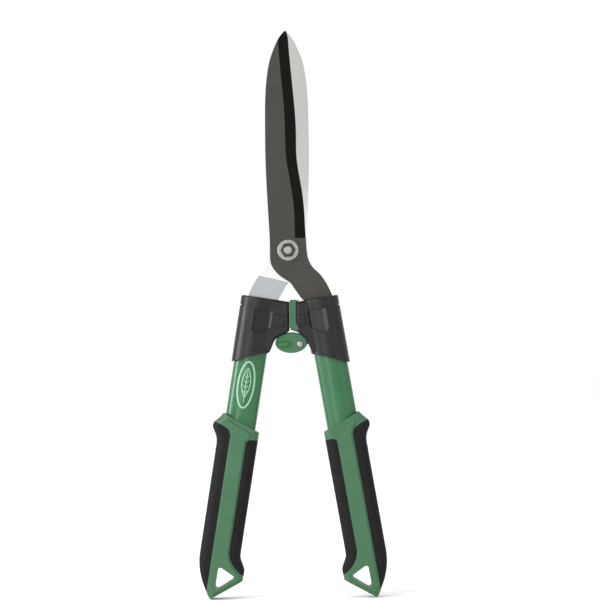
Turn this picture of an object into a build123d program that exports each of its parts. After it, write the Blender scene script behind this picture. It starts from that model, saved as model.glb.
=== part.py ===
from build123d import *
from math import sin, cos, radians
import os

os.makedirs("parts", exist_ok=True)

# Two-handed hedge shears, closed and standing on the butts of the grips.
# Millimetres. +Z runs along the blades, the shears lie in the XZ plane and the
# face with the nut looks toward -Y. The pivot axis is parallel to Y.

# ---- driving dimensions ------------------------------------------------
PZ = 341.8            # height of the pivot above the butts
PX = -1.1             # sideways place of the pivot, from the middle of the two arms
GAP = 0.05            # half of the gap between the two blades
BLADE_T = 4.0         # outer face of each blade, measured from the shears plane
EDGE_T = 0.6          # thickness left at the cutting edges
BEVEL_Z0 = 11.8       # square lower end of the ground bevel, above the pivot
REAR_EXTRA = 1.0      # the rear blade is this much wider at its back edge

BOLT_R = 4.0          # pivot bolt, M8
BOLT_FIT = 0.05       # radial clearance of the front blade on the bolt
WASHER_R, WASHER_T = 10.4, 1.6
NUT_AF, NUT_T = 13.0, 5.4
NUT_TURN = 63.0
HEAD_R, HEAD_T = 9.0, 4.2

TILT = 9.45           # lean of each arm from the vertical, degrees
ARM_X = 21.85         # arm centre line at the height of the pivot
TUBE_A, TUBE_B = 15.5, 9.0     # half axes of the oval tube
TUBE_WALL = 1.3
TUBE_T0, TUBE_T1 = 53.0, 300.0 # tube ends along the arm
TANG_W = 11.0         # half width of the tang inside the tube
TANG_END = 110.0
RIVET_R = 3.0         # rivets set flush with the tube
RIVET_T = (70.0, 90.0)

FER_A, FER_B = 18.0, 13.2      # half axes of the ferrule sleeve
FER_TOP_R, FER_TOP_L = 47.7, 46.6   # upper end of each ferrule along its arm
BLOCK_Y = 9.8         # half depth of the ferrule block
BLOCK_X_R, BLOCK_X_L = 6.1, 0.55   # stop faces: right block +X, left block -X
PAD_X = -0.4          # face of the bumper pad, 0.15 clear of the left block when closed

LATCH_C = (1.0, -90.9)         # centre of the oval latch plate
LATCH_A, LATCH_B = 15.7, 10.2
LATCH_PIV = (9.6, -92.3)
LATCH_Y0, LATCH_Y1, LATCH_Y2 = -6.5, -4.5, -1.5
LATCH_R = 1.5         # latch screw shank
KEEP_ANG, KEEP_RAD, KEEP_R = 145.0, 20.0, 1.5
HOOK_ANG = 160.0
SLOT_Y0, SLOT_Y1 = -6.9, -1.2  # latch slot in the ferrules
SLOT_CLR = 0.7

GRIP_HD = 12.5        # half depth of the grip under the pads
GRIP_FACE = 13.6      # half depth over the raised face
PAD_T = 2.8           # rubber thickness of the grip pads

# ---- frames --------------------------------------------------------------
ST, CT = sin(radians(TILT)), cos(radians(TILT))


def arm_point(t, w, y=0.0):
    """Point on the right arm: t down the arm from pivot height, w outward."""
    return (ARM_X + t * ST + w * CT, y, PZ - t * CT + w * ST)


def arm_section(t):
    """Plane square to the right arm at t: x outward, y to the front, z down."""
    return Plane(origin=arm_point(t, 0), x_dir=(CT, 0, ST), z_dir=(ST, 0, -CT))


# Plane of the right arm seen from the front: x = w, y = -t, z toward -Y
ARM_FRONT = Plane(origin=(ARM_X, 0, PZ), x_dir=(CT, 0, ST), z_dir=(0, -1, 0))
# Plane of the whole shears seen from the front: x = X, y = Z above the pivot
FRONT = Plane(origin=(0, 0, PZ), x_dir=(1, 0, 0), z_dir=(0, -1, 0))
# The same, centred on the pivot, and its place on the rear blade before that
# blade is turned half a turn about Z
PIVOT = Plane(origin=(PX, 0, PZ), x_dir=(1, 0, 0), z_dir=(0, -1, 0))
PIVOT_REAR = Plane(origin=(-PX, 0, PZ), x_dir=(1, 0, 0), z_dir=(0, -1, 0))


def wt(pairs):
    """(t, w) pairs to arm front plane coordinates."""
    return [(w, -t) for t, w in pairs]


# ---- blades --------------------------------------------------------------
# (x, z) about the pivot, dark front blade; back edge upward, cutting edge down
BACK = [(-17.7, -7.4), (-17.6, 2.4), (-18.7, 31.9), (-20.1, 61.5), (-21.0, 95.0),
        (-20.9, 120.5), (-20.5, 146.0), (-18.9, 168.0), (-14.7, 189.4),
        (-11.0, 199.2), (-6.2, 208.9), (0.3, 216.4)]
CUT = [(0.3, 216.4), (2.3, 211.0), (3.0, 203.9), (4.5, 184.2), (6.2, 164.5), (7.95, 144.8),
       (9.2, 125.1), (9.45, 110.0), (9.4, 97.0), (10.2, 85.7), (11.6, 75.8),
       (13.3, 66.0), (14.8, 56.1), (15.9, 46.2), (16.6, 36.4), (17.1, 24.0),
       (17.7, 11.8)]
# lower end of the blade and the cranked tang
LOW = [(17.7, 11.8), (18.4, 1.9), (19.5, -7.0), (21.6, -12.9), (25.0, -17.9), (30.3, -23.0),
       (34.2, -27.8), (39.9, -37.7), (43.0, -44.5)]
TANG_L = [(11.6, -46.4), (9.0, -42.2), (5.5, -37.3), (2.1, -32.3), (-5.2, -27.3), (-11.0, -22.3),
          (-14.9, -17.3)]
# the same for the rear blade, whose tang is a little wider on the inner side
LOW_R = [(17.7, 11.8), (18.4, 1.9), (19.5, -7.0), (21.0, -12.9), (23.8, -18.0), (28.4, -24.0),
         (32.4, -29.6), (36.8, -37.6), (39.8, -44.5)]
TANG_L_R = [(9.0, -46.6), (5.6, -41.0), (2.1, -34.9), (-2.4, -30.0), (-5.6, -27.1), (-11.0, -22.3),
            (-14.9, -17.3)]
# inner line of the ground bevel, (x, z)
BEVEL = [(6.9, 8.0), (6.95, 11.8), (6.9, 24.0), (6.8, 36.4), (6.0, 46.2), (4.7, 56.1), (3.3, 66.0),
         (1.6, 75.8), (0.0, 85.7), (-1.1, 97.0), (-1.3, 110.0), (-1.5, 125.1),
         (-2.4, 144.8), (-4.1, 164.5), (-5.7, 184.2), (-7.0, 203.9), (-8.2, 218.5)]
EDGE_X = [(18.0, 8.0), (17.7, 11.8), (17.1, 24.0), (16.6, 36.4), (15.9, 46.2), (14.8, 56.1), (13.3, 66.0),
          (11.6, 75.8), (10.2, 85.7), (9.4, 97.0), (9.45, 110.0), (9.2, 125.1),
          (7.95, 144.8), (6.2, 164.5), (4.5, 184.2), (3.0, 203.9), (1.6, 218.5)]


def tang_tip(outer, inner, px):
    """Tang outline inside the ferrule and tube, as (x, z) about the pivot."""
    out = []
    for t, w in ((48.6, outer), (TUBE_T0, TANG_W), (TANG_END, TANG_W),
                 (TANG_END, -TANG_W), (TUBE_T0, -TANG_W), (48.6, inner)):
        x, _, z = arm_point(t, w)
        out.append((x - px, z - PZ))
    return out


def blade_outline(extra, low, tang, outer, inner, px):
    """Closed outline of a blade, its back edge moved out by extra."""
    back = []
    for x, z in BACK:
        f = max(0.0, min(1.0, (z + 7.4) / 40.0)) * max(0.0, min(1.0, (216.4 - z) / 30.0))
        back.append((x - extra * f, z))
    tip = tang_tip(outer, inner, px)
    with BuildSketch() as outline:
        with BuildLine():
            Spline(*back)
            Spline(*CUT)
            Spline(*low)
            Polyline(low[-1], *tip, tang[0])
            Spline(*tang, back[0])
        make_face()
    return outline.sketch


def bevel_cutter(px):
    """Wedge that grinds the bevel away on the outer face, front blade side."""
    with BuildPart() as cutter:
        for (xb, z), (xc, _) in zip(BEVEL, EDGE_X):
            if z < BEVEL_Z0:
                continue
            xb, xc = xb + px, xc + px
            with BuildSketch(Plane.XY.offset(PZ + z)):
                with BuildLine():
                    Polyline((xb, -BLADE_T - 1.0), (xb, -BLADE_T),
                             (xc, -GAP - EDGE_T), (xc + 4.0, -GAP - EDGE_T),
                             (xc + 4.0, -BLADE_T - 1.0), close=True)
                make_face()
        loft(ruled=True)
    return cutter.part


front_bevel = bevel_cutter(PX)
rear_bevel = bevel_cutter(-PX)
front_outline = blade_outline(0.0, LOW, TANG_L, 11.6, -15.4, PX)
rear_outline = blade_outline(REAR_EXTRA, LOW_R, TANG_L_R, 12.2, -18.6, -PX)

with BuildPart() as front_blade:
    with BuildSketch(PIVOT.offset(GAP)):
        add(front_outline)
        Circle(BOLT_R + BOLT_FIT, mode=Mode.SUBTRACT)
    extrude(amount=BLADE_T - GAP)
    add(front_bevel, mode=Mode.SUBTRACT)
    with BuildSketch(ARM_FRONT):
        with Locations(*wt([(t, 0) for t in RIVET_T])):
            Circle(RIVET_R)
    extrude(amount=20, both=True, mode=Mode.SUBTRACT)
front_blade.part.label = "front_blade"

with BuildPart() as rear_blank:
    with BuildSketch(PIVOT_REAR.offset(GAP)):
        add(rear_outline)
        Rectangle(2 * BOLT_R, 2 * BOLT_R, mode=Mode.SUBTRACT)
    extrude(amount=BLADE_T - GAP)
    add(rear_bevel, mode=Mode.SUBTRACT)
    with BuildSketch(ARM_FRONT):
        with Locations(*wt([(t, 0) for t in RIVET_T])):
            Circle(RIVET_R)
    extrude(amount=20, both=True, mode=Mode.SUBTRACT)

with BuildPart() as rear_blade:
    add(rear_blank.part, rotation=(0, 0, 180))
rear_blade.part.label = "rear_blade"

# ---- pivot hardware --------------------------------------------------------
# carriage bolt: domed head behind, square neck in the rear blade, round shank
with BuildPart() as pivot_bolt:
    with BuildSketch(PIVOT.offset(-BLADE_T)):
        Circle(HEAD_R)
    extrude(amount=-HEAD_T)
    fillet(pivot_bolt.faces().sort_by(Axis.Y)[-1].edges(), 2.6)
    with BuildSketch(PIVOT.offset(-BLADE_T)):
        Rectangle(2 * BOLT_R, 2 * BOLT_R)
    extrude(amount=BLADE_T - GAP)
    with BuildSketch(PIVOT.offset(-GAP)):
        Circle(BOLT_R)
    extrude(amount=GAP + 13.1)
    chamfer(pivot_bolt.faces().sort_by(Axis.Y)[0].edges(), 0.7)
pivot_bolt.part.label = "pivot_bolt"

with BuildPart() as pivot_washer:
    with BuildSketch(PIVOT.offset(BLADE_T)):
        Circle(WASHER_R)
        Circle(BOLT_R + 0.2, mode=Mode.SUBTRACT)
    extrude(amount=WASHER_T)
    chamfer(pivot_washer.faces().sort_by(Axis.Y)[0].outer_wire().edges(), 0.5)
pivot_washer.part.label = "pivot_washer"

NUT_Y0 = BLADE_T + WASHER_T
RING_Y0, RING_T = NUT_Y0 + NUT_T - 0.2, 1.3
with BuildPart() as pivot_locknut:
    with BuildSketch(PIVOT.offset(NUT_Y0)):
        RegularPolygon(NUT_AF / 2, 6, major_radius=False, rotation=NUT_TURN)
    extrude(amount=NUT_T)
    # chamfered corners: keep what lies inside a blunt cone
    with BuildSketch(PIVOT.offset(NUT_Y0)):
        Circle(NUT_AF / 2 + 1.9)
    extrude(amount=NUT_T, taper=16, mode=Mode.INTERSECT)
    with BuildSketch(PIVOT.offset(NUT_Y0 + NUT_T)):
        Circle(6.0)
    extrude(amount=1.5)
    fillet(pivot_locknut.faces().sort_by(Axis.Y)[0].edges(), 0.6)
    with BuildSketch(PIVOT.offset(NUT_Y0)):
        Circle(BOLT_R)
    extrude(amount=20, mode=Mode.SUBTRACT)
    with BuildSketch(PIVOT.offset(RING_Y0)):
        Circle(5.3)
    extrude(amount=RING_T, mode=Mode.SUBTRACT)
    with BuildSketch(PIVOT.offset(RING_Y0)):
        Circle(5.0)
    extrude(amount=10, mode=Mode.SUBTRACT)
pivot_locknut.part.label = "pivot_locknut"

with BuildPart() as pivot_nut_nylon_ring:
    with BuildSketch(PIVOT.offset(RING_Y0)):
        Circle(5.3)
        Circle(BOLT_R, mode=Mode.SUBTRACT)
    extrude(amount=RING_T)
pivot_nut_nylon_ring.part.label = "pivot_nut_nylon_ring"

# ---- tubes -----------------------------------------------------------------
with BuildPart() as right_tube:
    with BuildSketch(arm_section(TUBE_T0)):
        Ellipse(TUBE_A, TUBE_B)
        Ellipse(TUBE_A - TUBE_WALL, TUBE_B - TUBE_WALL, mode=Mode.SUBTRACT)
    extrude(amount=TUBE_T1 - TUBE_T0)
    with BuildSketch(ARM_FRONT):
        with Locations(*wt([(t, 0) for t in RIVET_T])):
            Circle(RIVET_R)
    extrude(amount=20, both=True, mode=Mode.SUBTRACT)
right_tube.part.label = "right_tube"

with BuildPart() as left_tube:
    mirror(right_tube.part, about=Plane.YZ)
left_tube.part.label = "left_tube"

# plugs of hard nylon that fill the tubes round the tangs
with BuildPart() as tang_plug_blank:
    with BuildSketch(arm_section(TUBE_T0)):
        Ellipse(TUBE_A - TUBE_WALL, TUBE_B - TUBE_WALL)
    extrude(amount=TANG_END - TUBE_T0 + 4.0)
    with BuildSketch(ARM_FRONT):
        with Locations(*wt([(t, 0) for t in RIVET_T])):
            Circle(RIVET_R)
    extrude(amount=20, both=True, mode=Mode.SUBTRACT)

with BuildPart() as right_tang_plug:
    add(tang_plug_blank.part)
    add(front_blade.part, mode=Mode.SUBTRACT)
right_tang_plug.part.label = "right_tang_plug"

with BuildPart() as left_tang_plug:
    mirror(tang_plug_blank.part, about=Plane.YZ)
    add(rear_blade.part, mode=Mode.SUBTRACT)
left_tang_plug.part.label = "left_tang_plug"


def rivet(t):
    """Rivet through tube, plug and tang at t, set flush with the tube."""
    with BuildPart() as r:
        with BuildSketch(ARM_FRONT.offset(TUBE_B)):
            with Locations(*wt([(t, 0)])):
                Circle(RIVET_R)
        extrude(amount=-2 * TUBE_B)
        with BuildSketch(arm_section(t - 8)):
            Ellipse(TUBE_A, TUBE_B)
        extrude(amount=16, mode=Mode.INTERSECT)
    return r


right_rivet_upper = rivet(RIVET_T[0])
right_rivet_upper.part.label = "right_rivet_upper"
right_rivet_lower = rivet(RIVET_T[1])
right_rivet_lower.part.label = "right_rivet_lower"
with BuildPart() as left_rivet_upper:
    mirror(right_rivet_upper.part, about=Plane.YZ)
left_rivet_upper.part.label = "left_rivet_upper"
with BuildPart() as left_rivet_lower:
    mirror(right_rivet_lower.part, about=Plane.YZ)
left_rivet_lower.part.label = "left_rivet_lower"

# ---- ferrules ----------------------------------------------------------------
UNDER = [(7.4, -80.4), (9.0, -82.1), (11.0, -83.9), (13.6, -86.1), (16.1, -88.9), (17.7, -92.4),
         (20.0, -97.4), (22.6, -101.2)]
UNDER_L = [(0.55, -79.0), (5.0, -82.0), (12.0, -85.4), (15.3, -88.6), (17.3, -92.6),
           (19.2, -97.2), (22.4, -101.2)]


def sleeve(top, rise):
    """Moulded oval sleeve: rim, groove, body; solid, oblique lower end."""
    with BuildPart() as body:
        with BuildSketch(arm_section(top)):
            Ellipse(FER_A, FER_B)
        extrude(amount=90)
        with BuildSketch(ARM_FRONT):
            with BuildLine():
                Polyline(*wt([(87.5 - rise, -53.0), (101.0 - rise, -17.0), (107.4 - rise, 0.0),
                              (115.4 - rise, 18.0), (121.4 - rise, 31.5), (160.0, 31.5),
                              (160.0, -53.0)]), close=True)
            make_face()
        extrude(amount=30, both=True, mode=Mode.SUBTRACT)
        fillet(body.faces().sort_by(Axis.Z)[-1].edges(), 1.8)
        # groove under the rim
        with BuildSketch(arm_section(top + 9.0)):
            Ellipse(FER_A + 5, FER_B + 5)
            Ellipse(FER_A - 0.9, FER_B - 1.1, mode=Mode.SUBTRACT)
        extrude(amount=1.5, mode=Mode.SUBTRACT)
    return body.part


def block_face(x_face, under, top):
    """Front outline of the stop block that bridges the two arms."""
    top_w = -(ARM_X + top * ST - x_face) / CT
    xt, _, zt = arm_point(top, top_w)
    xo, _, zo = arm_point(top, 0.0)
    xi, _, zi = arm_point(100.0, -4.0)
    with BuildSketch() as outline:
        with BuildLine():
            Polyline((xt, zt - PZ), (xo, zo - PZ), (xi, zi - PZ), under[-1])
            Spline(*reversed(under))
            Polyline(under[0], (x_face, -71.8), (xt, zt - PZ))
        make_face()
    return outline.sketch


# sunk valley between sleeve and block, on one face
def valley_cutter(side, top):
    with BuildPart() as v:
        with BuildSketch(arm_section(top + 10.5)):
            with BuildLine():
                Polyline((4.4, side * 13.4), (0.2, side * 10.4), (-5.0, side * 9.6), (-12.6, side * 7.9),
                         (-15.4, side * 10.2), (-15.4, side * 18.0), (4.4, side * 18.0),
                         close=True)
            make_face()
        extrude(amount=24.0)
        with BuildSketch(ARM_FRONT):
            with BuildLine():
                Polyline(*wt([(58.0, -30.0), (58.0, 8.0), (75.5, 8.0), (83.0, -2.0), (78.6, -9.5),
                              (73.0, -15.6), (72.0, -30.0)]), close=True)
            make_face()
        extrude(amount=30, both=True, mode=Mode.INTERSECT)
    return v.part


def latch_sweep(angles, clr):
    """The oval latch plate turned about its screw, widened by clr."""
    cx, cz = LATCH_C[0] - LATCH_PIV[0], LATCH_C[1] - LATCH_PIV[1]
    with BuildSketch() as swept:
        for a in angles:
            ca, sa = cos(radians(-a)), sin(radians(-a))
            px = LATCH_PIV[0] + cx * ca - cz * sa
            pz = LATCH_PIV[1] + cx * sa + cz * ca
            with Locations(Location((px, pz), -a)):
                Ellipse(LATCH_A + clr, LATCH_B + clr)
    return swept.sketch


right_sleeve = sleeve(FER_TOP_R, 0.0)
left_sleeve = sleeve(FER_TOP_L, 2.4)
right_block_face = block_face(BLOCK_X_R, UNDER, FER_TOP_R)
left_block_face = block_face(BLOCK_X_L, UNDER_L, FER_TOP_L)
right_sweep = latch_sweep([-40, -35, -30, -25, -20, -15, -10, -5, 0, 5, 10, 15], SLOT_CLR)
left_sweep = latch_sweep([0, 3, 6, 9, 12, 15], SLOT_CLR)
valleys_right = (valley_cutter(1, FER_TOP_R), valley_cutter(-1, FER_TOP_R))
valleys_left = (valley_cutter(1, FER_TOP_L), valley_cutter(-1, FER_TOP_L))

# raised panel on the block, front face and back face, (w, -t) rings
PANEL_R = wt([(60.2, -17.4), (60.2, -23.8), (71.6, -25.8), (73.0, -21.5), (70.6, -17.4)])
PANEL_L = wt([(60.2, -17.4), (60.2, -27.0), (71.6, -29.2), (73.0, -22.5), (70.6, -17.4)])

# rubber bumper on the right block, with two pegs and a toe at its lower end
with BuildPart() as bumper_pad:
    with BuildSketch(FRONT.offset(-8.6)):
        with BuildLine():
            Polyline((PAD_X, -50.0), (PAD_X, -75.8), (1.5, -77.4), (7.5, -79.4), (8.2, -77.6), (8.2, -74.6),
                     (BLOCK_X_R, -71.8), (BLOCK_X_R, -50.94), (8.9, -50.48), (8.9, -49.4), (5.2, -48.8),
                     (0.9, -48.8), close=True)
        make_face()
    extrude(amount=17.2)
    chamfer(bumper_pad.faces().filter_by(Axis.Y).edges(), 0.4)
    with BuildSketch(Plane.YZ.offset(BLOCK_X_R)):
        with Locations((0, PZ - 59.0), (0, PZ - 71.0)):
            Circle(2.0)
    extrude(amount=4.2)
bumper_pad.part.label = "bumper_pad"

with BuildPart() as right_ferrule:
    with BuildSketch(FRONT.offset(-BLOCK_Y)):
        add(right_block_face)
    extrude(amount=2 * BLOCK_Y)
    chamfer(right_ferrule.faces().filter_by(Axis.Y).edges(), 2.2)
    add(right_sleeve)
    with BuildSketch(ARM_FRONT.offset(BLOCK_Y - 0.5)):
        with BuildLine():
            Polyline(*PANEL_R, close=True)
        make_face()
    extrude(amount=1.4, taper=35)
    with BuildSketch(ARM_FRONT.offset(0.5 - BLOCK_Y)):
        with BuildLine():
            Polyline(*PANEL_R, close=True)
        make_face()
    extrude(amount=-1.4, taper=35)
    # lug behind the latch
    with BuildSketch(FRONT.offset(-4.0)):
        with Locations(LATCH_PIV):
            Circle(4.4)
        with Locations((19.5, -86.0)):
            Circle(4.0)
        make_hull()
    extrude(amount=4.0 + SLOT_Y1 * -1.0)
    add(valleys_right, mode=Mode.SUBTRACT)
    with BuildSketch(arm_section(TUBE_T0)):
        Ellipse(TUBE_A, TUBE_B)
    extrude(amount=90, mode=Mode.SUBTRACT)
    add(front_blade.part, mode=Mode.SUBTRACT)
    with BuildSketch(FRONT.offset(-SLOT_Y1)):
        add(right_sweep)
    extrude(amount=SLOT_Y1 - SLOT_Y0, mode=Mode.SUBTRACT)
    with BuildSketch(FRONT):
        with Locations(LATCH_PIV):
            Circle(LATCH_R)
    extrude(amount=20, both=True, mode=Mode.SUBTRACT)
    # lips under the toe of the bumper, in front of the latch slot and behind it
    for y0, y1 in ((-8.2, SLOT_Y0), (SLOT_Y1, 8.2)):
        with BuildSketch(FRONT.offset(-y1)):
            with BuildLine():
                Polyline((0.4, -76.0), (7.5, -76.0), (10.5, -77.0), (10.5, -82.0), (9.0, -81.9),
                         (7.4, -80.6), (4.5, -79.5), (1.4, -78.5), (0.4, -77.6), close=True)
            make_face()
        extrude(amount=y1 - y0)
    # seat of the bumper and sockets for its pegs
    add(bumper_pad.part, mode=Mode.SUBTRACT)
right_ferrule.part.label = "right_ferrule"

with BuildPart() as left_ferrule_blank:
    with BuildSketch(FRONT.offset(-BLOCK_Y)):
        add(left_block_face)
    extrude(amount=2 * BLOCK_Y)
    chamfer(left_ferrule_blank.faces().filter_by(Axis.Y).edges(), 2.2)
    add(left_sleeve)
    with BuildSketch(ARM_FRONT.offset(BLOCK_Y - 0.5)):
        with BuildLine():
            Polyline(*PANEL_L, close=True)
        make_face()
    extrude(amount=1.4, taper=35)
    with BuildSketch(ARM_FRONT.offset(0.5 - BLOCK_Y)):
        with BuildLine():
            Polyline(*PANEL_L, close=True)
        make_face()
    extrude(amount=-1.4, taper=35)
    add(valleys_left, mode=Mode.SUBTRACT)
    with BuildSketch(arm_section(TUBE_T0)):
        Ellipse(TUBE_A, TUBE_B)
    extrude(amount=90, mode=Mode.SUBTRACT)

KX = LATCH_PIV[0] + KEEP_RAD * cos(radians(KEEP_ANG))
KZ = LATCH_PIV[1] + KEEP_RAD * sin(radians(KEEP_ANG))
with BuildPart() as left_ferrule:
    mirror(left_ferrule_blank.part, about=Plane.YZ)
    add(rear_blade.part, mode=Mode.SUBTRACT)
    with BuildSketch(FRONT.offset(-SLOT_Y1)):
        add(left_sweep)
    extrude(amount=SLOT_Y1 - SLOT_Y0, mode=Mode.SUBTRACT)
    with BuildSketch(FRONT.offset(-SLOT_Y1)):
        with Locations((KX, KZ)):
            Circle(KEEP_R)
    extrude(amount=-6.0, mode=Mode.SUBTRACT)
left_ferrule.part.label = "left_ferrule"

# ---- latch -------------------------------------------------------------------
HX = LATCH_PIV[0] + KEEP_RAD * cos(radians(HOOK_ANG))
HZ = LATCH_PIV[1] + KEEP_RAD * sin(radians(HOOK_ANG))
EX = LATCH_PIV[0] + (KEEP_RAD + 0.2) * cos(radians(134.0))
EZ = LATCH_PIV[1] + (KEEP_RAD + 0.2) * sin(radians(134.0))
with BuildPart() as lock_latch:
    with BuildSketch(FRONT.offset(-LATCH_Y1)):
        with Locations(LATCH_C):
            Ellipse(LATCH_A, LATCH_B)
    extrude(amount=LATCH_Y1 - LATCH_Y0)
    fillet(lock_latch.faces().sort_by(Axis.Y)[0].edges(), 1.3)
    # hook layer behind the plate
    with BuildSketch(FRONT.offset(-LATCH_Y2)):
        with Locations(LATCH_C):
            Ellipse(LATCH_A - 0.6, LATCH_B - 0.6)
        with BuildSketch(mode=Mode.PRIVATE) as notch:
            with Locations((HX, HZ), (EX, EZ)):
                Circle(KEEP_R + 0.5)
            make_hull()
        add(notch.sketch, mode=Mode.SUBTRACT)
    extrude(amount=LATCH_Y2 - LATCH_Y1)
    # thumb rib
    with BuildSketch(FRONT.offset(-LATCH_Y0 - 0.3)):
        with Locations(Location((-6.4, -92.4), 3)):
            Ellipse(7.2, 3.2)
    extrude(amount=3.2, taper=24)
    with BuildSketch(FRONT):
        with Locations(LATCH_PIV):
            Circle(LATCH_R + 0.05)
    extrude(amount=20, both=True, mode=Mode.SUBTRACT)
lock_latch.part.label = "lock_latch"

with BuildPart() as latch_screw:
    with BuildSketch(FRONT.offset(-LATCH_Y0)):
        with Locations(LATCH_PIV):
            Circle(2.9)
    extrude(amount=1.9)
    fillet(latch_screw.faces().sort_by(Axis.Y)[0].edges(), 0.9)
    with BuildSketch(FRONT.offset(-LATCH_Y0 + 1.9)):
        with Locations(Location(LATCH_PIV, 30)):
            Rectangle(3.2, 0.8)
            Rectangle(0.8, 3.2)
    extrude(amount=-0.9, mode=Mode.SUBTRACT)
    with BuildSketch(FRONT.offset(-LATCH_Y0)):
        with Locations(LATCH_PIV):
            Circle(LATCH_R)
    extrude(amount=-(7.4 - LATCH_Y0))
latch_screw.part.label = "latch_screw"

with BuildPart() as latch_washer:
    with BuildSketch(FRONT.offset(-4.0)):
        with Locations(LATCH_PIV):
            Circle(3.5)
            Circle(LATCH_R + 0.1, mode=Mode.SUBTRACT)
    extrude(amount=-0.6)
latch_washer.part.label = "latch_washer"

with BuildPart() as latch_nut:
    with BuildSketch(FRONT.offset(-4.6)):
        with Locations(LATCH_PIV):
            RegularPolygon(2.75, 6, major_radius=False)
            Circle(LATCH_R, mode=Mode.SUBTRACT)
    extrude(amount=-2.4)
latch_nut.part.label = "latch_nut"

with BuildPart() as latch_keeper_pin:
    with BuildSketch(FRONT.offset(4.2)):
        with Locations((KX, KZ)):
            Circle(KEEP_R)
    extrude(amount=-(4.2 - SLOT_Y1 * -1.0 + 6.0))
    chamfer(latch_keeper_pin.faces().sort_by(Axis.Y)[0].edges(), 0.3)
latch_keeper_pin.part.label = "latch_keeper_pin"

# ---- grips -------------------------------------------------------------------
# (t, inner w, outer w, half depth, corner radius)
GRIP_TOP = [(158.0, -19.6, 15.9, 12.3, 7.0), (161.5, -19.6, 16.7, 12.3, 7.2),
            (165.0, -19.6, 18.4, 12.4, 7.5), (167.8, -19.6, 20.3, 12.4, 7.8),
            (170.6, -19.6, 22.7, 12.5, 8.0), (173.4, -19.6, 25.1, 12.5, 8.0),
            (176.0, -19.6, 26.3, 12.5, 8.0), (178.6, -19.6, 26.3, 12.5, 8.0),
            (181.2, -19.6, 25.2, 12.5, 8.0), (184.0, -19.6, 23.5, 12.5, 8.0),
            (187.0, -19.6, 21.9, 12.5, 8.0), (190.0, -19.6, 20.9, 12.5, 8.0),
            (193.0, -19.6, 20.4, 12.5, 8.0), (197.5, -19.6, 20.2, 12.5, 8.0),
            (202.0, -19.6, 20.2, 12.5, 8.0)]
GRIP_MID = [(202.0, -19.6, 20.2, 12.5, 8.0), (298.0, -19.6, 20.2, 12.5, 8.0)]
GRIP_END = [(298.0, -19.6, 20.2, 12.5, 8.0), (301.0, -19.8, 20.2, 12.5, 7.9),
            (304.0, -20.6, 20.15, 12.5, 7.7), (306.5, -21.9, 20.05, 12.5, 7.5),
            (309.0, -23.3, 19.85, 12.5, 7.2), (311.5, -24.6, 19.5, 12.5, 6.9),
            (314.0, -25.6, 19.1, 12.5, 6.6), (316.2, -25.9, 18.7, 12.5, 6.4),
            (318.4, -25.8, 18.1, 12.5, 6.2), (320.7, -25.7, 17.5, 12.5, 6.1),
            (323.0, -25.6, 16.7, 12.5, 6.0), (328.0, -25.6, 14.8, 12.5, 6.0),
            (332.5, -25.6, 12.7, 12.5, 6.0), (340.0, -25.6, 8.4, 12.5, 6.0),
            (346.0, -25.6, 4.4, 12.5, 6.0), (352.0, -25.6, 0.6, 12.5, 6.0)]
OUTER_PAD = wt([(173.4, 45.0), (173.4, 25.2), (175.6, 17.7), (179.2, 10.6), (184.0, 8.0),
                (342.0, 8.0), (342.0, 45.0)])
INNER_PAD = wt([(186.2, -45.0), (186.2, -11.5), (189.0, -8.3), (299.0, -8.3), (305.5, -10.2),
                (311.2, -13.9), (315.2, -18.3), (318.1, -22.4), (319.6, -26.6), (319.6, -45.0)])
FACE_RING = wt([(169.0, 13.0), (172.5, 14.0), (176.0, 12.6), (179.6, 9.4), (184.0, 7.8),
                (334.0, 7.8), (343.3, 1.5), (324.9, -22.4), (319.4, -22.4), (315.7, -17.8),
                (311.7, -13.4), (305.7, -9.8), (299.0, -8.1), (188.9, -8.1), (185.6, -11.4),
                (180.0, -13.2)])


def grip_solid(inset):
    """Grip body by sections down the arm, pulled in all round by inset."""
    with BuildPart() as body:
        for rows in (GRIP_TOP, GRIP_MID, GRIP_END):
            for t, wi, wo, hd, r in rows:
                with BuildSketch(arm_section(t)):
                    with Locations(((wi + wo) / 2, 0)):
                        RectangleRounded(wo - wi - 2 * inset, 2 * (hd - inset), r - inset)
            loft(ruled=rows is GRIP_MID)
        # oblique collar at the top and the oblique butt
        with BuildSketch(ARM_FRONT):
            with BuildLine():
                Polyline(*wt([(150.0, 40.0), (156.2, 40.0), (165.0, 16.0), (178.5, -19.5),
                              (186.2, -40.0), (150.0, -40.0)]), close=True)
            make_face()
            with BuildLine():
                Polyline(*wt([(285.2, -76.0), (323.9, -26.3), (347.0, 3.4), (380.0, 45.8),
                              (380.0, -76.0)]), close=True)
            make_face()
        extrude(amount=30, both=True, mode=Mode.SUBTRACT)
    return body.part


def through_block(ring):
    """Ring of arm front points run straight through the grip."""
    with BuildPart() as block:
        with BuildSketch(ARM_FRONT):
            with BuildLine():
                Polyline(*ring, close=True)
            make_face()
        extrude(amount=30, both=True)
    return block.part


def hang_hole():
    with BuildPart() as hole:
        with BuildSketch(ARM_FRONT) as tri:
            with BuildLine():
                Polyline(*wt([(312.9, 0.15), (338.8, 0.15), (322.3, -18.6)]), close=True)
            make_face()
            fillet(tri.vertices(), 2.6)
        extrude(amount=30, both=True)
    return hole.part


grip_blank = grip_solid(0.0)
grip_inset = grip_solid(PAD_T)
outer_region = through_block(OUTER_PAD)
inner_region = through_block(INNER_PAD)
hole_solid = hang_hole()

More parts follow.
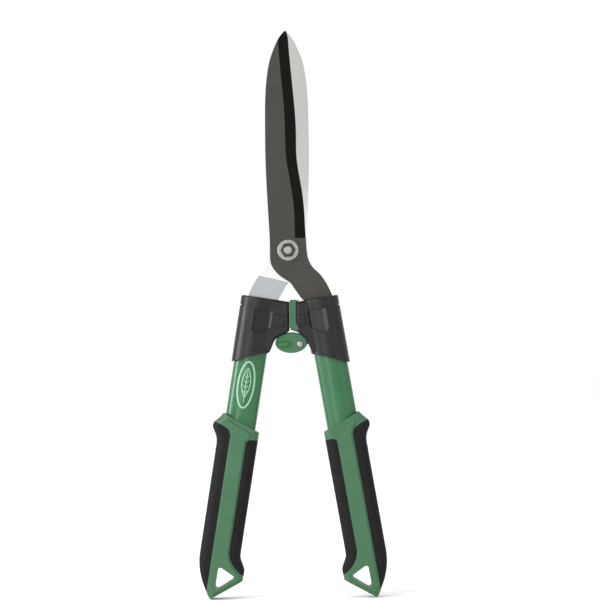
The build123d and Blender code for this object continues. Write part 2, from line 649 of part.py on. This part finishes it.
with BuildPart() as right_grip_core:
    add(grip_blank)
    add(outer_region, mode=Mode.SUBTRACT)
    add(inner_region, mode=Mode.SUBTRACT)
    add(grip_inset)
    # raised face with chamfered rims, front and back
    with BuildSketch(ARM_FRONT.offset(GRIP_HD - 0.6)):
        with BuildLine():
            Polyline(*FACE_RING, close=True)
        make_face()
    extrude(amount=GRIP_FACE - GRIP_HD + 0.6, taper=40)
    with BuildSketch(ARM_FRONT.offset(0.6 - GRIP_HD)):
        with BuildLine():
            Polyline(*FACE_RING, close=True)
        make_face()
    extrude(amount=GRIP_HD - 0.6 - GRIP_FACE, taper=40)
    add(hole_solid, mode=Mode.SUBTRACT)
    # socket for the tube
    with BuildSketch(arm_section(150)):
        Ellipse(TUBE_A, TUBE_B)
    extrude(amount=TUBE_T1 - 150, mode=Mode.SUBTRACT)
right_grip_core.part.label = "right_grip_core"

with BuildPart() as right_grip_outer_pad:
    add(outer_region)
    add(grip_blank, mode=Mode.INTERSECT)
    add(grip_inset, mode=Mode.SUBTRACT)
right_grip_outer_pad.part.label = "right_grip_outer_pad"

with BuildPart() as right_grip_inner_pad:
    add(inner_region)
    add(grip_blank, mode=Mode.INTERSECT)
    add(grip_inset, mode=Mode.SUBTRACT)
right_grip_inner_pad.part.label = "right_grip_inner_pad"

with BuildPart() as left_grip_core:
    mirror(right_grip_core.part, about=Plane.YZ)
left_grip_core.part.label = "left_grip_core"
with BuildPart() as left_grip_outer_pad:
    mirror(right_grip_outer_pad.part, about=Plane.YZ)
left_grip_outer_pad.part.label = "left_grip_outer_pad"
with BuildPart() as left_grip_inner_pad:
    mirror(right_grip_inner_pad.part, about=Plane.YZ)
left_grip_inner_pad.part.label = "left_grip_inner_pad"

# ---- export --------------------------------------------------------------------
export_step(front_blade.part, "parts/front_blade.step")
export_step(rear_blade.part, "parts/rear_blade.step")
export_step(pivot_bolt.part, "parts/pivot_bolt.step")
export_step(pivot_washer.part, "parts/pivot_washer.step")
export_step(pivot_locknut.part, "parts/pivot_locknut.step")
export_step(pivot_nut_nylon_ring.part, "parts/pivot_nut_nylon_ring.step")
export_step(right_tube.part, "parts/right_tube.step")
export_step(left_tube.part, "parts/left_tube.step")
export_step(right_tang_plug.part, "parts/right_tang_plug.step")
export_step(left_tang_plug.part, "parts/left_tang_plug.step")
export_step(right_rivet_upper.part, "parts/right_rivet_upper.step")
export_step(right_rivet_lower.part, "parts/right_rivet_lower.step")
export_step(left_rivet_upper.part, "parts/left_rivet_upper.step")
export_step(left_rivet_lower.part, "parts/left_rivet_lower.step")
export_step(right_ferrule.part, "parts/right_ferrule.step")
export_step(left_ferrule.part, "parts/left_ferrule.step")
export_step(bumper_pad.part, "parts/bumper_pad.step")
export_step(lock_latch.part, "parts/lock_latch.step")
export_step(latch_screw.part, "parts/latch_screw.step")
export_step(latch_washer.part, "parts/latch_washer.step")
export_step(latch_nut.part, "parts/latch_nut.step")
export_step(latch_keeper_pin.part, "parts/latch_keeper_pin.step")
export_step(right_grip_core.part, "parts/right_grip_core.step")
export_step(right_grip_outer_pad.part, "parts/right_grip_outer_pad.step")
export_step(right_grip_inner_pad.part, "parts/right_grip_inner_pad.step")
export_step(left_grip_core.part, "parts/left_grip_core.step")
export_step(left_grip_outer_pad.part, "parts/left_grip_outer_pad.step")
export_step(left_grip_inner_pad.part, "parts/left_grip_inner_pad.step")
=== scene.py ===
import math

import bpy
from mathutils import Matrix, Vector


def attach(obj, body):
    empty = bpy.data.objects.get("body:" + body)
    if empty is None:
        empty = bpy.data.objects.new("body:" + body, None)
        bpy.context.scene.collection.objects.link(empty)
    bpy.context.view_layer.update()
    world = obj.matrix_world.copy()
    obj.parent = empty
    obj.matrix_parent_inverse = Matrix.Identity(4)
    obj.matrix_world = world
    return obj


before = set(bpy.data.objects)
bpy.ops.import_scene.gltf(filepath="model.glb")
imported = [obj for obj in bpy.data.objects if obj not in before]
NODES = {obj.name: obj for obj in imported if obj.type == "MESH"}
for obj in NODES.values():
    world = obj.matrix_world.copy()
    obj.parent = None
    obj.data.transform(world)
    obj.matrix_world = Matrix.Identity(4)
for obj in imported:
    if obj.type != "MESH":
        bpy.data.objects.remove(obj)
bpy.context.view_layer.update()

# Lengths are metres, as in the CAD model.
PX, PZ = -0.0011, 0.3418
TILT = math.radians(9.45)
ST, CT = math.sin(TILT), math.cos(TILT)
ARM_X = 0.02185


def arm(t, w, side=1, y=0.0):
    """Point on an arm: t down the arm, w outward, side +1 right, -1 left."""
    return Vector((side * (ARM_X + t * ST + w * CT), y, PZ - t * CT + w * ST))


# ---------------------------------------------------------------- materials
def lin(r, g, b):
    out = []
    for v in (r, g, b):
        v /= 255.0
        out.append(v / 12.92 if v <= 0.04045 else ((v + 0.055) / 1.055) ** 2.4)
    return out


class Mat:
    """A Principled material with a few procedural layers."""

    def __init__(self, name, colour, rough, metallic=0.0, spec=0.5, coat=0.0, coat_rough=0.1):
        self.m = bpy.data.materials.new(name)
        self.m.use_nodes = True
        self.nt = self.m.node_tree
        self.b = self.nt.nodes["Principled BSDF"]
        self.b.inputs["Metallic"].default_value = metallic
        self.b.inputs["Specular IOR Level"].default_value = spec
        self.b.inputs["Coat Weight"].default_value = coat
        self.b.inputs["Coat Roughness"].default_value = coat_rough
        self.colour = colour
        self.rough = rough
        self.height = None
        self.col_socket = None
        self.rough_socket = None
        self.tc = self.nt.nodes.new("ShaderNodeTexCoord")

    def node(self, kind, **values):
        n = self.nt.nodes.new(kind)
        for k, v in values.items():
            if k in n.inputs:
                n.inputs[k].default_value = v
            else:
                setattr(n, k, v)
        return n

    def link(self, a, b):
        self.nt.links.new(a, b)

    def coords(self, scale=(1, 1, 1), angle=0.0):
        mp = self.node("ShaderNodeMapping")
        mp.inputs["Scale"].default_value = scale
        mp.inputs["Rotation"].default_value = (0, angle, 0)
        self.link(self.tc.outputs["Object"], mp.inputs["Vector"])
        return mp.outputs["Vector"]

    def noise(self, scale, detail=3.0, rough=0.55, stretch=(1, 1, 1), angle=0.0):
        n = self.node("ShaderNodeTexNoise", Scale=scale, Detail=detail, Roughness=rough)
        self.link(self.coords(stretch, angle), n.inputs["Vector"])
        return n.outputs["Fac"]

    def spread(self, fac, lo, hi):
        """Fac (about 0.3 to 0.7) to lo..hi."""
        r = self.node("ShaderNodeMapRange")
        r.inputs["From Min"].default_value = 0.3
        r.inputs["From Max"].default_value = 0.7
        r.inputs["To Min"].default_value = lo
        r.inputs["To Max"].default_value = hi
        self.link(fac, r.inputs["Value"])
        return r.outputs["Result"]

    def mix(self, fac, a, b):
        m = self.node("ShaderNodeMix", data_type="RGBA")
        for sock, v in ((m.inputs[6], a), (m.inputs[7], b)):
            if isinstance(v, (list, tuple)):
                sock.default_value = (*v, 1.0)
            else:
                self.link(v, sock)
        if isinstance(fac, float):
            m.inputs[0].default_value = fac
        else:
            self.link(fac, m.inputs[0])
        return m.outputs[2]

    def fmix(self, fac, a, b):
        m = self.node("ShaderNodeMix", data_type="FLOAT")
        for sock, v in ((m.inputs[2], a), (m.inputs[3], b)):
            if isinstance(v, float):
                sock.default_value = v
            else:
                self.link(v, sock)
        self.link(fac, m.inputs[0])
        return m.outputs[0]

    def step(self, value, lo, hi):
        """0 below lo, 1 above hi."""
        r = self.node("ShaderNodeMapRange")
        r.inputs["From Min"].default_value = lo
        r.inputs["From Max"].default_value = hi
        self.link(value, r.inputs["Value"])
        return r.outputs["Result"]

    def normal_y(self):
        g = self.node("ShaderNodeNewGeometry")
        s = self.node("ShaderNodeSeparateXYZ")
        self.link(g.outputs["True Normal"], s.inputs[0])
        return s.outputs["Y"]

    def add_bump(self, fac, strength, distance):
        bump = self.node("ShaderNodeBump")
        bump.inputs["Strength"].default_value = strength
        bump.inputs["Distance"].default_value = distance
        self.link(fac, bump.inputs["Height"])
        if self.height is not None:
            self.link(self.height, bump.inputs["Normal"])
        self.height = bump.outputs["Normal"]

    def vary(self, scale=60.0, amount=0.12, detail=4.0, stretch=(1, 1, 1), angle=0.0):
        """Broad colour variation about the base colour."""
        n = self.noise(scale, detail, 0.6, stretch, angle)
        lo = [c * (1 - amount) for c in self.colour]
        hi = [min(1.0, c * (1 + amount)) for c in self.colour]
        self.col_socket = self.mix(self.spread(n, 0.0, 1.0), lo, hi)
        return n

    def done(self):
        if self.col_socket is None:
            self.vary()
        self.link(self.col_socket, self.b.inputs["Base Color"])
        if self.rough_socket is None:
            self.rough_socket = self.spread(self.noise(140.0, 4.0), self.rough - 0.05, self.rough + 0.05)
        self.link(self.rough_socket, self.b.inputs["Roughness"])
        if self.height is not None:
            self.link(self.height, self.b.inputs["Normal"])
        return self.m


def painted_tube():
    m = Mat("tube_green_enamel", [0.0125, 0.096, 0.0315], 0.27, spec=0.4, coat=0.2, coat_rough=0.24)
    m.vary(35.0, 0.07)
    m.add_bump(m.noise(900.0, 2.0), 0.12, 0.00008)
    m.add_bump(m.noise(60.0, 2.0), 0.06, 0.0003)
    return m.done()


def grip_plastic():
    m = Mat("grip_green_plastic", [0.038, 0.110, 0.053], 0.40, spec=0.3)
    m.vary(50.0, 0.06)
    m.add_bump(m.noise(2600.0, 2.0), 0.35, 0.00006)
    return m.done()


def latch_plastic():
    m = Mat("latch_green_plastic", [0.030, 0.110, 0.045], 0.36, spec=0.35)
    m.vary(90.0, 0.07)
    m.add_bump(m.noise(2600.0, 2.0), 0.3, 0.00005)
    return m.done()


def ferrule_plastic():
    m = Mat("ferrule_black_plastic", [0.0052, 0.0050, 0.0058], 0.34, spec=0.32)
    m.vary(70.0, 0.14)
    m.add_bump(m.noise(3200.0, 3.0), 0.5, 0.00009)
    return m.done()


def pad_rubber():
    m = Mat("grip_black_rubber", [0.009, 0.0085, 0.009], 0.66, spec=0.12)
    m.vary(60.0, 0.16)
    m.add_bump(m.noise(3600.0, 3.0), 0.6, 0.00010)
    return m.done()


def green_rubber():
    m = Mat("bumper_green_rubber", [0.044, 0.108, 0.058], 0.6, spec=0.2)
    m.vary(80.0, 0.1)
    m.add_bump(m.noise(2200.0, 3.0), 0.5, 0.00008)
    return m.done()


def nylon():
    m = Mat("black_nylon", lin(48, 47, 48), 0.5, spec=0.4)
    m.vary(150.0, 0.12)
    m.add_bump(m.noise(2500.0, 2.0), 0.3, 0.00005)
    return m.done()


def zinc():
    m = Mat("zinc_plate", lin(160, 158, 155), 0.24, metallic=1.0)
    n = m.vary(260.0, 0.10)
    m.rough_socket = m.spread(m.noise(700.0, 3.0), 0.20, 0.42)
    m.add_bump(m.noise(1500.0, 2.0), 0.2, 0.00004)
    return m.done()


def painted_dark_reflection():
    # dark metal for the pivot locknut: its dark base colour is a painted reflection, standing in for the dark
    # surroundings mirrored by the chrome nut
    m = Mat("nut_painted_dark_reflection", lin(70, 68, 67), 0.2, metallic=1.0)
    m.vary(300.0, 0.15)
    m.rough_socket = m.spread(m.noise(600.0, 3.0), 0.12, 0.28)
    m.add_bump(m.noise(1200.0, 2.0), 0.2, 0.00004)
    return m.done()


def ground_steel():
    """Satin steel with cross grinding marks; a painted highlight runs from the tang to the lower blade, and the
    lower tang gets a grey painted shade for its bend.
    """
    m = Mat("ground_steel", lin(206, 207, 202), 0.34, metallic=1.0)
    lines = m.noise(160.0, 4.0, 0.65, (1.0, 1.0, 22.0))
    base = m.mix(m.spread(lines, 0.0, 1.0), lin(186, 186, 182), lin(200, 200, 196))
    stain = m.noise(18.0, 3.0)
    base = m.mix(m.spread(stain, 0.0, 0.25), base, lin(176, 176, 171))
    xyz = m.node("ShaderNodeSeparateXYZ")
    m.link(m.tc.outputs["Object"], xyz.inputs[0])
    # distance down the left arm from the pivot, on a line square to where the painted shade of the tang's bend
    # begins
    t = m.node("ShaderNodeVectorMath", operation="DOT_PRODUCT")
    m.link(m.tc.outputs["Object"], t.inputs[0])
    t.inputs[1].default_value = (-ST - 0.076 * CT, 0.0, -CT + 0.076 * ST)
    line = PZ * (-CT + 0.076 * ST) + (0.0223 - PX) * (ST + 0.076 * CT)
    # painted shade: the lower tang is greyed where the real tang bends away from the light
    bend_shade_mask = m.step(t.outputs["Value"], line + 0.0250, line + 0.0256)
    # painted highlight: over-exposed steel near the pivot, fading to the plain steel colour higher up the blade
    highlight_mask = m.step(xyz.outputs["Z"], PZ + 0.020, PZ + 0.064)
    painted_highlight = m.mix(m.spread(lines, 0.0, 1.0), lin(226, 227, 226), lin(242, 242, 242))
    # grey painted shade colour for the bent lower tang
    tang = m.mix(m.spread(lines, 0.0, 1.0), lin(172, 176, 178), lin(186, 189, 192))
    col = m.mix(highlight_mask, painted_highlight, base)
    col = m.mix(bend_shade_mask, col, tang)
    ny = m.normal_y()
    a = m.node("ShaderNodeMath", operation="ABSOLUTE")
    m.link(ny, a.inputs[0])
    flat = m.step(a.outputs[0], 0.965, 0.985)
    m.col_socket = m.mix(flat, lin(222, 223, 219), col)
    m.rough_socket = m.fmix(flat, 0.20, m.spread(lines, 0.18, 0.25))
    m.add_bump(lines, 0.35, 0.00006)
    return m.done()


def coated_blade():
    """Dark grey coating outside, black bevel, bare ground steel on the mating face."""
    m = Mat("coated_blade", lin(84, 82, 76), 0.36, spec=0.06)
    lines = m.noise(150.0, 4.0, 0.65, (1.0, 1.0, 18.0))
    broad = m.noise(22.0, 3.0)
    coat = m.mix(m.spread(lines, 0.0, 1.0), lin(62, 60, 56), lin(72, 70, 65))
    coat = m.mix(m.spread(broad, 0.0, 0.30), coat, lin(56, 54, 51))
    bevel = m.mix(m.spread(m.noise(60.0, 3.0), 0.0, 1.0), lin(10, 10, 9), lin(15, 14, 13))
    steel = m.mix(m.spread(lines, 0.0, 1.0), lin(190, 191, 186), lin(208, 209, 204))
    ny = m.normal_y()
    is_bevel = m.node("ShaderNodeMath", operation="MULTIPLY")
    m.link(m.step(ny, -0.988, -0.980), is_bevel.inputs[0])
    up = m.node("ShaderNodeMath", operation="SUBTRACT")
    up.inputs[0].default_value = 1.0
    m.link(m.step(ny, -0.80, -0.70), up.inputs[1])
    m.link(up.outputs[0], is_bevel.inputs[1])
    is_back = m.step(ny, 0.5, 0.6)
    col = m.mix(is_bevel.outputs[0], coat, bevel)
    m.col_socket = m.mix(is_back, col, steel)
    m.rough_socket = m.fmix(is_back, m.fmix(is_bevel.outputs[0], m.spread(lines, 0.30, 0.40), 0.30), 0.24)
    m.link(m.fmix(is_back, m.fmix(is_bevel.outputs[0], 0.55, 0.0), 1.0), m.b.inputs["Metallic"])
    m.add_bump(lines, 0.3, 0.00006)
    return m.done()


def emblem_paint():
    m = Mat("emblem_pale_print", lin(132, 170, 146), 0.5, spec=0.3)
    m.vary(300.0, 0.05)
    return m.done()


MATS = {
    "tube": painted_tube(),
    "grip": grip_plastic(),
    "latch": latch_plastic(),
    "ferrule": ferrule_plastic(),
    "pad": pad_rubber(),
    "bumper": green_rubber(),
    "nylon": nylon(),
    "zinc": zinc(),
    "painted_dark_reflection": painted_dark_reflection(),
    "steel": ground_steel(),
    "coated": coated_blade(),
    "emblem": emblem_paint(),
}

USE = {
    "front_blade": "coated",
    "rear_blade": "steel",
    "pivot_bolt": "zinc",
    "pivot_washer": "zinc",
    "pivot_locknut": "painted_dark_reflection",
    "pivot_nut_nylon_ring": "nylon",
    "left_tube": "tube",
    "right_tube": "tube",
    "left_tang_plug": "nylon",
    "right_tang_plug": "nylon",
    "left_rivet_upper": "zinc",
    "left_rivet_lower": "zinc",
    "right_rivet_upper": "zinc",
    "right_rivet_lower": "zinc",
    "left_ferrule": "ferrule",
    "right_ferrule": "ferrule",
    "bumper_pad": "bumper",
    "lock_latch": "latch",
    "latch_screw": "zinc",
    "latch_washer": "zinc",
    "latch_nut": "zinc",
    "latch_keeper_pin": "zinc",
    "left_grip_core": "grip",
    "right_grip_core": "grip",
    "left_grip_outer_pad": "pad",
    "left_grip_inner_pad": "pad",
    "right_grip_outer_pad": "pad",
    "right_grip_inner_pad": "pad",
}
for name, obj in NODES.items():
    obj.data.materials.clear()
    obj.data.materials.append(MATS[USE[name]])


# ---------------------------------------------------------------- printed emblem
def tube_front(t, w, lift):
    """Point on the front of the left tube, lift above its surface."""
    a, b = 0.0155 + lift, 0.0090 + lift
    p = arm(t, w, -1)
    p.y = -b * math.sqrt(max(0.0, 1 - (w / a) ** 2))
    return p


def printed_band(name, centre_line, width, closed):
    """A flat printed line that follows the front of the left tube."""
    n = len(centre_line)
    verts, faces = [], []
    for i, (t, w) in enumerate(centre_line):
        a = centre_line[(i - 1) % n] if closed or i > 0 else centre_line[i]
        b = centre_line[(i + 1) % n] if closed or i < n - 1 else centre_line[i]
        dt, dw = b[0] - a[0], b[1] - a[1]
        ln = math.hypot(dt, dw) or 1.0
        nt, nw = -dw / ln, dt / ln
        h = width(i / max(1, n - 1)) / 2
        for s, lift in ((1, 0.00008), (-1, 0.00008), (-1, -0.00004), (1, -0.00004)):
            verts.append(tube_front(t + s * h * nt, w + s * h * nw, lift))
    m = n if closed else n - 1
    for i in range(m):
        j = (i + 1) % n
        for k in range(4):
            l = (k + 1) % 4
            faces.append((4 * i + k, 4 * i + l, 4 * j + l, 4 * j + k))
    if not closed:
        faces.append((0, 1, 2, 3))
        faces.append((4 * (n - 1) + 3, 4 * (n - 1) + 2, 4 * (n - 1) + 1, 4 * (n - 1)))
    me = bpy.data.meshes.new(name)
    me.from_pydata([tuple(v) for v in verts], [], faces)
    me.update()
    o = bpy.data.objects.new(name, me)
    bpy.context.scene.collection.objects.link(o)
    o.data.materials.append(MATS["emblem"])
    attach(o, "left_arm")
    return o


EC_T, EC_W = 0.13345, 0.00035
EA, EB = 0.0227, 0.0079
ring = [(EC_T + EA * math.cos(2 * math.pi * i / 96), EC_W + EB * math.sin(2 * math.pi * i / 96)) for i in range(96)]
printed_band("emblem_ring", ring, lambda u: 0.0017, True)
leaf = []
for i in range(40):
    u = i / 39
    leaf.append((EC_T - 0.0165 + 0.029 * u, EC_W + 0.0043 * math.sin(math.pi * u) ** 0.9))
for i in range(1, 39):
    u = 1 - i / 39
    leaf.append((EC_T - 0.0165 + 0.029 * u, EC_W - 0.0043 * math.sin(math.pi * u) ** 0.9))
printed_band("emblem_leaf", leaf, lambda u: 0.0009, True)
printed_band("emblem_vein", [(EC_T - 0.013 + 0.0305 * i / 10, EC_W) for i in range(11)], lambda u: 0.0009, False)
for k in range(4):
    for s in (1, -1):
        t0 = EC_T - 0.0065 + 0.0050 * k
        printed_band(
            f"emblem_side_vein_{k}_{'a' if s > 0 else 'b'}",
            [(t0 - 0.0030 * j / 4, EC_W + s * 0.0027 * j / 4) for j in range(5)],
            lambda u: 0.0006,
            False,
        )

# ---------------------------------------------------------------- floor
bpy.ops.mesh.primitive_circle_add(vertices=128, radius=9.0, fill_type="NGON", location=(0, 0, -0.0003))
floor = bpy.context.object
floor.name = "floor"
fm = Mat("floor_white", [0.996, 0.996, 0.996], 0.9, spec=0.0)
fm.vary(3.0, 0.003)
floor.data.materials.append(fm.done())

# ---------------------------------------------------------------- light
world = bpy.data.worlds.new("studio")
bpy.context.scene.world = world
world.use_nodes = True
bg = world.node_tree.nodes["Background"]
bg.inputs["Color"].default_value = (1.0, 1.0, 1.0, 1.0)
bg.inputs["Strength"].default_value = 1.0


def area(name, loc, aim, size, power):
    d = bpy.data.lights.new(name, "AREA")
    d.shape = "RECTANGLE"
    d.size, d.size_y = size
    d.energy = power
    o = bpy.data.objects.new(name, d)
    bpy.context.scene.collection.objects.link(o)
    o.location = loc
    o.rotation_mode = "QUATERNION"
    o.rotation_quaternion = (Vector(aim) - Vector(loc)).to_track_quat("-Z", "Y")
    return o


area("key", (-1.4, -1.9, 1.6), (0, 0, 0.28), (0.8, 1.0), 32)
area("side", (-2.4, -0.7, 0.7), (0, 0, 0.28), (0.6, 1.6), 42)
area("front_box", (-1.0, -2.9, 0.42), (0, 0, 0.25), (0.55, 1.3), 11)
area("fill", (1.8, -2.0, 0.9), (0, 0, 0.28), (1.2, 1.2), 3)

# ---------------------------------------------------------------- camera
cd = bpy.data.cameras.new("photo_view")
cd.sensor_width = 36.0
cd.lens = 200.0
cd.dof.use_dof = False
cam = bpy.data.objects.new("photo_view", cd)
bpy.context.scene.collection.objects.link(cam)
ROLL = math.radians(0.77)
DIST = 200.0 * 0.5924 / 36.0
right = Vector((math.cos(ROLL), 0, -math.sin(ROLL)))
up = Vector((math.sin(ROLL), 0, math.cos(ROLL)))
back = Vector((0, -1, 0))
cam.matrix_world = Matrix.Translation((0.0101, -DIST, 0.2917)) @ Matrix((right, up, back)).transposed().to_4x4()
cd.clip_start, cd.clip_end = 0.1, 60.0
bpy.context.scene.camera = cam

bpy.context.scene.view_settings.view_transform = "Standard"
bpy.context.scene.view_settings.look = "None"

bpy.context.view_layer.update()
